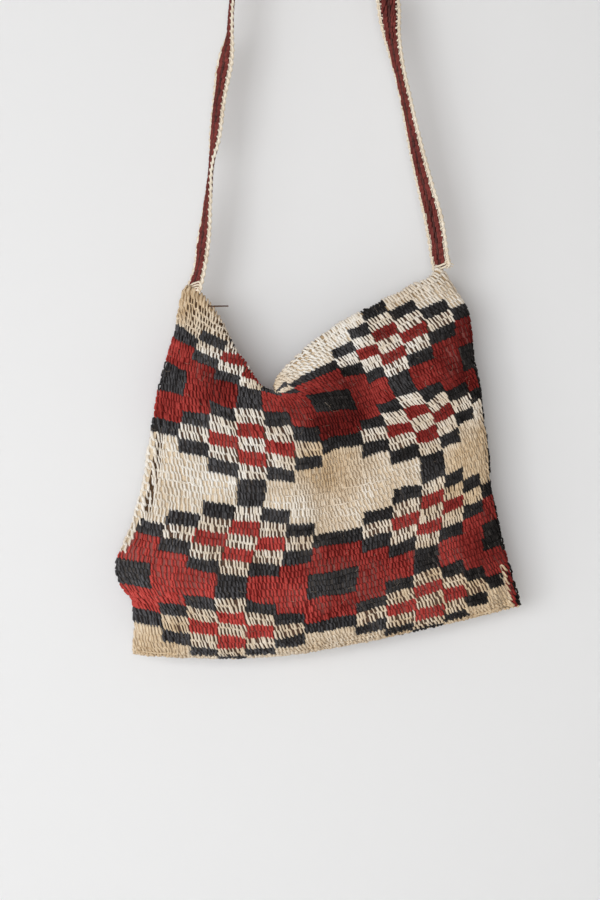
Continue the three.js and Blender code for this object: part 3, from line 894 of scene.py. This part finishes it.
def ground_finish(name, colour, deep, places=(), lint=None):
    """The inner twine between the loops, with patches of pale lint."""
    finish = Finish(name)
    round_it, down = finish.map_axes("cloth")
    loops = ((round_it * FULL_TURN).sine() * (down * (COURSES * FULL_TURN)).sine()).as_share()
    # Darker places, most of them painted shade
    share = finish.less_near((loops + finish.noise(GROUND_NOISE)) * GROUND_SHARE, places)
    body = finish.mix(finish.limit(share), linear(deep), linear(colour))
    if lint:
        linty = finish.rise(finish.noise(*LINT_NOISE), *LINT_RISE) * LINT_SHARE
        body = finish.mix(linty, body, linear(lint))
    finish.surface(Base_Color=body, Roughness=0.95, Specular_IOR_Level=0.15)
    return finish.material


def inside_finish(name, colour, deep):
    """The inside: the backs of the loops in slanting ribs, with painted shade in the hollows between them.
    """
    finish = Finish(name)
    round_it, down = finish.map_axes("cloth")
    wave = (down * (COURSES * FULL_TURN)).sine() * RIB_WAVE
    rib = ((round_it + wave) * np.pi).sine().size()
    course = (down * FULL_TURN).sine().size()
    height = rib * RIB_HEIGHT + course * COURSE_HEIGHT
    # Darker in the hollows between the ribs: painted shade
    share = height * INSIDE_HOLLOW_SHADE + finish.noise(INSIDE_NOISE) * INSIDE_GRAIN
    finish.surface(Base_Color=finish.mix(share, linear(deep), linear(colour)))
    finish.surface(Normal=finish.bump(height, INSIDE_BUMP), Roughness=0.92, Specular_IOR_Level=0.2)
    return finish.material


def wall_finish():
    """Matt paint, seen from its front only."""
    finish = Finish("wall_paint")
    finish.surface(Base_Color=linear(WALL_PAINT), Roughness=0.9, Specular_IOR_Level=0.1)
    behind = finish.node("NewGeometry", output="Backfacing")
    clear = finish.node("BsdfTransparent")
    shader = Wire(finish, finish.shader.outputs[0])
    shown = finish.node("MixShader", {0: behind, 1: shader, 2: clear})
    finish.put(finish.nodes["Material Output"].inputs["Surface"], shown)
    return finish.material


def floor_finish():
    """Pale paint with an uneven gloss."""
    finish = Finish("floor_paint")
    gloss = FLOOR_ROUGHNESS + finish.noise(FLOOR_NOISE) * FLOOR_GRAIN
    finish.surface(Base_Color=linear(FLOOR_PAINT), Roughness=gloss)
    return finish.material


TWINE = {name: twine_finish(f"{name}_twine", *look) for name, look in TWINES.items()}


# Pieces of the pouch

def ground_faces(rows):
    """Quads of the outside, inside and rim, and the corners of outside and rim as counts."""
    layer = WALES * rows
    corners = quads(WALES, rows - 1)
    wale, row = corners[..., 0] % WALES, corners[..., 1]
    shared = np.where((row == rows - 1) & (wale > FACE_WALES), WALES - wale, wale)
    outer = shared * rows + row
    rim = np.arange(WALES)[:, None, None] * [1, 0] + SQUARE
    mouth = rim[..., 0] % WALES * rows + rim[..., 1] * layer
    return join([outer, outer[:, ::-1] + layer, mouth]), corners, rim


def ground_maps(corners, rim):
    """The cloth's own map, in wales and checks, and its bake map."""
    cell = corners * np.array([1, LATTICE])
    own = cell / [WALES, CHECKS] * FACE_SHARE
    cloth = join([cell, cell[:, ::-1], rim * [1, 0]])
    bake = join([own, own[:, ::-1] + INSIDE_AT, rim / [WALES, 1] * RIM_SHARE + RIM_AT])
    return [("cloth", cloth), ("OFBake", bake)]


def cloth_ground(cloth):
    """Thin closed sheet of the inner twine, with an outside, an inside and a rim."""
    rows = cloth.rows
    points, normals = cloth.points[:, :rows], cloth.normals[:, :rows]
    points = points - normals * groove(cloth.wale, cloth.check)[..., None]
    layers = join([points + normals * off for off in GROUND_OFF]).reshape(-1, 3)
    faces, corners, rim = ground_faces(rows)
    wale, check = corners[:, 0, 0] + 0.5, (corners[:, 0, 1] + 0.5) * LATTICE
    zone, inside = ground_zone(wale, check), chart(wale, check) + INSIDE
    finish_rows = join([zone, inside, np.zeros(WALES, int)])
    finishes = [ground_finish(name, *look) for name, look in GROUNDS.items()]
    finishes += [inside_finish(name, *look) for name, look in INSIDES.items()]
    used, faces_used = np.unique(faces, return_inverse=True)
    return mesh_object(
        "pouch_ground", layers[used], faces_used.reshape(faces.shape), ground_maps(corners, rim), finishes,
        finish_rows)


def twine_width(wale, check, colour):
    """Share of the usual width that a loop's twine has."""
    beyond = (wale < GROOVE_WALE) & within(check, GROOVE_CHECKS)
    natural = np.where(beyond, BEYOND_FOLD_WIDTH, ZONE_WIDTHS[ground_zone(wale, check)])
    return np.where(colour == CREAM, natural, DYED_WIDTH)


def pouch_loops(cloth):
    """Every loop of the pouch, by colour and face."""
    draws = seeded("loops")
    wale, course = np.indices((WALES, CHECKS * COURSES), float).reshape(2, -1)
    drift, lift, wide = draws.normal(0, 1, (3, len(wale), 1))
    check = (course + 0.5) / COURSES
    colour = chart(wale + LOOP_SHEAR * (0.5 - course % COURSES), check)
    shape = np.where((colour == CREAM)[:, None, None], LOOP, DYED_LOOP)
    across, down, height, width = np.moveaxis(shape, -1, 0)
    at = (
        (wale + drawn_together(wale, check))[:, None] + across + drift * LOOP_DRIFT,
        (course[:, None] + down) / COURSES,
    )
    height = height + lift * LOOP_LIFT + waves(*at, "out") - groove(*at)
    places, outs = cloth.at(at[0] + waves(*at, "across"), at[1] + waves(*at, "down"))
    places = places + outs * height[..., None]
    spread = 1 + np.clip(wide, -FURTHEST, FURTHEST) * LOOP_WIDTH_SPREAD
    radii = TWINE_RADIUS * width * twine_width(wale, check, colour)[:, None] * spread
    pieces = []
    for face, on_face in (("front", wale <= FACE_WALES), ("back", wale > FACE_WALES)):
        for shade, name in zip((CREAM, RED, CHARCOAL), TWINES):
            chosen = on_face & (colour == shade) & ~in_groove(wale, check)
            parts = places[chosen], outs[chosen], radii[chosen]
            pieces.append(strands(f"pouch_loops_{name}_{face}", *parts, name, name))
    return pieces


def carried_strands(cloth):
    """Thin natural strands that are carried between the courses."""
    draws = seeded("carried")
    lines, ups = [], []
    for zone, checks, wales, gap, height in CARRIED:
        for check in checks:
            wale = draws.uniform(0, gap[1])
            while wale < WALES:
                span = np.linspace(wale, wale + draws.uniform(*wales), CARRIED_RINGS)
                wale = span[-1] + draws.uniform(*gap)
                beside = np.array([[check - CARRIED_BESIDE], [check + CARRIED_BESIDE]])
                passed = ground_zone(*np.broadcast_arrays(span % WALES, beside))
                beside_fold = zone == CREAM and span[0] < CARRIED_FROM_WALE
                if beside_fold or np.any(passed != zone):
                    continue
                place, out = cloth.at(span, check + draws.normal(0, CARRIED_WANDER, CARRIED_RINGS))
                lines.append(place + out * height)
                ups.append(out)
    lines, ups = np.array(lines), np.array(ups)
    return strands("carried_strands", lines, ups, CARRIED_RADIUS, "carried_twist", "natural")


def loose_fibres(cloth):
    """Short fibres that have worked out of the twine."""
    draws = seeded("fibres")
    one_each = (FIBRES, 1)
    wale, check = draws.uniform(0, WALES, one_each), draws.uniform(*FIBRE_CHECKS, one_each)
    turn, bend = draws.uniform(0, FULL_TURN, one_each), draws.normal(0, FIBRE_BEND, one_each)
    share = np.linspace(0, 1, FIBRE_RINGS)
    length = draws.uniform(*FIBRE_LENGTH, one_each) * share
    along = turn + bend * share
    at_check = check + length * np.sin(along) / CHECK_HEIGHT
    place, out = cloth.at(wale + length * np.cos(along) / WALE_WIDTH, np.clip(at_check, 0, CHECKS))
    height = draws.uniform(*FIBRE_RISE, one_each) * share + FIBRE_ROOT
    radii = draws.uniform(*FIBRE_RADIUS, one_each) * np.linspace(1, FIBRE_TIP, FIBRE_RINGS)
    lines = place + out * height[..., None]
    return strands("loose_fibres", lines, out, radii, "fibres_twist", "fibre")


def twine_tail(cloth):
    """A stiff loose end of twine beside the left corner."""
    place, out = cloth.at(TAIL_WALE, TAIL_CHECK)
    share = np.linspace(0, 1, TAIL_RINGS)[:, None]
    line = (place + out * TAIL_OUT + share * TAIL_LENGTH * TAIL_DIRECTION)[None]
    radii = np.linspace(1, TAIL_TIP, TAIL_RINGS) * TAIL_RADIUS
    return strands("twine_tail", line, TOWARDS_VIEW, radii, "tail", "brown")


# Pieces of the strap

def seated_length(path, cloth, start, inward):
    """Length at which the strap's end meets a corner of the pouch."""
    away = path.tangent(start) * inward
    off = cloth.points.reshape(-1, 3) - path.point(start)
    forward = off @ away
    beside = np.linalg.norm(off - forward[:, None] * away, axis=1)
    return start + inward * forward[beside < STRAP_WIDTH].max()


def strap_ground(path, start, end):
    """Thin band under the strap's loops."""
    half = np.array([BAND_WIDTH / 2, BAND_HALF_THICKNESS])
    section = half * [(1, -1), (1, 1), (-1, 1), (-1, -1)]
    length = np.linspace(start, end, BAND_RINGS)
    points = np.stack([path.place(length, *at) for at in section], 1)
    rings, sides = points.shape[:2]
    corners = quads(rings - 1, sides)[:, OTHER_WAY]
    wall = corners[..., 0] * sides + corners[..., 1] % sides
    cap = np.arange(sides)
    faces = join([wall, [cap, (rings - 1) * sides + cap[::-1]]])
    place = corners[..., ::-1] / [sides, rings - 1] * BAND_SHARE
    bake = join([place, [SQUARE * BAND_END_SIZE + at for at in BAND_END_AT]])
    maps = [("cloth", bake * [BAND_WALES, (end - start) / CHECK_HEIGHT]), ("OFBake", bake)]
    finish = ground_finish("ground_strap", *STRAP_GROUND)
    return mesh_object("strap_ground", points.reshape(-1, 3), faces, maps, [finish])


def strap_loops(path, start, end):
    """The red and dark wales on both faces of the strap."""
    draws = seeded("strap")
    courses = np.arange(start, end - STRAP_COURSE, STRAP_COURSE)
    across, down, height, width = DYED_LOOP.T
    length = courses[:, None] + down * STRAP_COURSE
    thick = path.directions(length)[1]
    pieces = []
    for name, wales in STRAP_WALES.items():
        points, ups = [], []
        for wale in wales:
            for face in (-1, 1):
                drift, lift = draws.normal(0, 1, (2, len(courses), 1))
                over = (wale + face * across * STRAP_LOOP_ACROSS + drift * LOOP_DRIFT) * STRAP_WALE
                through = face * (STRAP_LOOP_BASE + height * STRAP_LOOP_RISE + lift * STRAP_LOOP_LIFT)
                points.append(path.place(length, over, through))
                ups.append(thick * face)
        points, ups, radii = join(points), join(ups), STRAP_LOOP_RADIUS[name] * width
        pieces.append(strands(f"strap_loops_{name}", points, ups, radii, "strap_twist", f"strap_{name}"))
    return pieces


def winding(path, start, end, middle, turns, reach, through, lean, skew=0.0):
    """Places and outward directions of twine wound round the strap."""
    steps = np.arange(int(turns * EDGE_TURN_STEPS) + 1)
    angle = steps * FULL_TURN / EDGE_TURN_STEPS
    length = start + (end - start) * steps / steps[-1] + lean * np.sin(angle) + skew * np.cos(angle)
    round_it = path.place(length, middle + reach * np.cos(angle), through * np.sin(angle))
    centre = path.place(length, middle, 0)
    return round_it, unit(round_it - centre)


def strap_edges(path, start, end):
    """The natural edges: twine wound over core strands."""
    middle = STRAP_WIDTH / 2 - EDGE_REACH - EDGE_RADIUS / 2
    turns = (end - start) / EDGE_TURN
    wound = [
        winding(path, start, end, edge * middle, turns, edge * EDGE_REACH, EDGE_THROUGH, EDGE_LEAN)
        for edge in (-1, 1)
    ]
    points, ups = (np.array(part) for part in zip(*wound))
    uneven = seeded("edges").normal(0, 1, points.shape[:2])
    radii = EDGE_RADIUS + EDGE_RADIUS_SPREAD * uneven.clip(-FURTHEST, FURTHEST)
    length = np.linspace(start, end, EDGE_CORE_RINGS)
    cores = np.array([
        path.place(length, edge * (middle + core), 0)
        for edge in (-1, 1) for core in EDGE_CORES
    ])
    thick = path.directions(length)[1]
    return [
        strands("strap_edges", points, ups, radii, "edges_twist", "strap_edge"),
        strands("strap_edge_cores", cores, thick, EDGE_CORE_RADIUS, "cores", "strap_edge"),
    ]


def tufts(path, at, inward, draws):
    """Places along the short strand ends beside a lashing."""
    share = np.linspace(0, 1, TUFT_RINGS)
    ranges = TUFT_OVER, TUFT_OVER_LEAN, TUFT_ALONG, TUFT_ALONG_LEAN, TUFT_BEHIND_LEAN
    over, over_lean, along, along_lean, lean = (draws.uniform(*limits, (TUFTS, 1)) for limits in ranges)
    length = at + inward * (along + share * along_lean)
    return path.place(length, -over - share * over_lean, -TUFT_BEHIND - share * lean)


def lashings(path, start, end):
    """Twine that sews each end of the strap to its corner, with strand ends."""
    draws = seeded("lashings")
    pieces = []
    for (name, row), at, inward in zip(LASHINGS.items(), (start, end), (1, -1)):
        tuck, length, *wound = row.values()
        line, out = winding(path, at - inward * tuck, at + inward * length, 0.0, *wound)
        ends = tufts(path, at, inward, draws)
        pieces += [
            strands(f"lashing_{name}", line[None], out, LASHING_RADIUS, "lashings_twist", "strap_edge"),
            strands(f"lashing_ends_{name}", ends, TOWARDS_VIEW, TUFT_RADIUS, "tufts", "strap_edge"),
        ]
    return pieces


# Stage, light and camera

def plane(name, corners, finish):
    mesh = bpy.data.meshes.new(name)
    mesh.from_pydata(corners, [], [(0, 1, 2, 3)])
    mesh.materials.append(finish)
    link(name, mesh)


def make_stage():
    corners = (2 * SQUARE - 1) * STAGE_REACH
    plane("wall", [(x, WALL_Y, np.clip(z, FLOOR_Z, WALL_TOP)) for x, z in corners], wall_finish())
    plane("floor", [(x, y, FLOOR_Z) for x, y in corners], floor_finish())


def make_light():
    for name, window in WINDOWS.items():
        light = bpy.data.lights.new(name, "AREA")
        light.shape, light.size, light.size_y = "RECTANGLE", *window["size"]
        light.energy, light.color = window["power"], WINDOW_COLOUR
        lamp = link(name, light)
        lamp.location = window["at"]
        away = Vector(WINDOW_AIM) - Vector(window["at"])
        lamp.rotation_euler = away.to_track_quat("-Z", "Y").to_euler()
    world = bpy.data.worlds.new("soft_room")
    world.use_nodes = True
    background = world.node_tree.nodes["Background"].inputs
    background["Color"].default_value, background["Strength"].default_value = ROOM_COLOUR, ROOM_GLOW
    scene.world = world
    scene.view_settings.view_transform = "Standard"


def make_camera():
    lens = bpy.data.cameras.new("camera")
    lens.lens, lens.sensor_width = LENS, SENSOR
    camera = link("camera", lens)
    camera.location = CAMERA_AT
    camera.rotation_euler = (np.pi / 2, 0, 0)
    scene.camera = camera


make_camera()
make_stage()
make_light()

path = StrapPath()
cloth = Cloth(path)
left_end = seated_length(path, cloth, 0.0, 1)
right_end = seated_length(path, cloth, path.length, -1)
band = left_end - STRAP_TUCK, right_end + STRAP_TUCK
pouch = cloth_ground(cloth)
pouch_twine = [*pouch_loops(cloth), carried_strands(cloth), loose_fibres(cloth), twine_tail(cloth)]
strap = strap_ground(path, *band)
strap_twine = [
    *strap_loops(path, band[0], right_end + STRAP_LOOPS_TUCK),
    *strap_edges(path, *band),
    *lashings(path, left_end, right_end),
]

for slot, sheet, twine in (("pouch", pouch, pouch_twine), ("strap", strap, strap_twine)):
    for piece in (sheet, *twine):
        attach(piece, "root")
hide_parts("pouch")
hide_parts("strap")
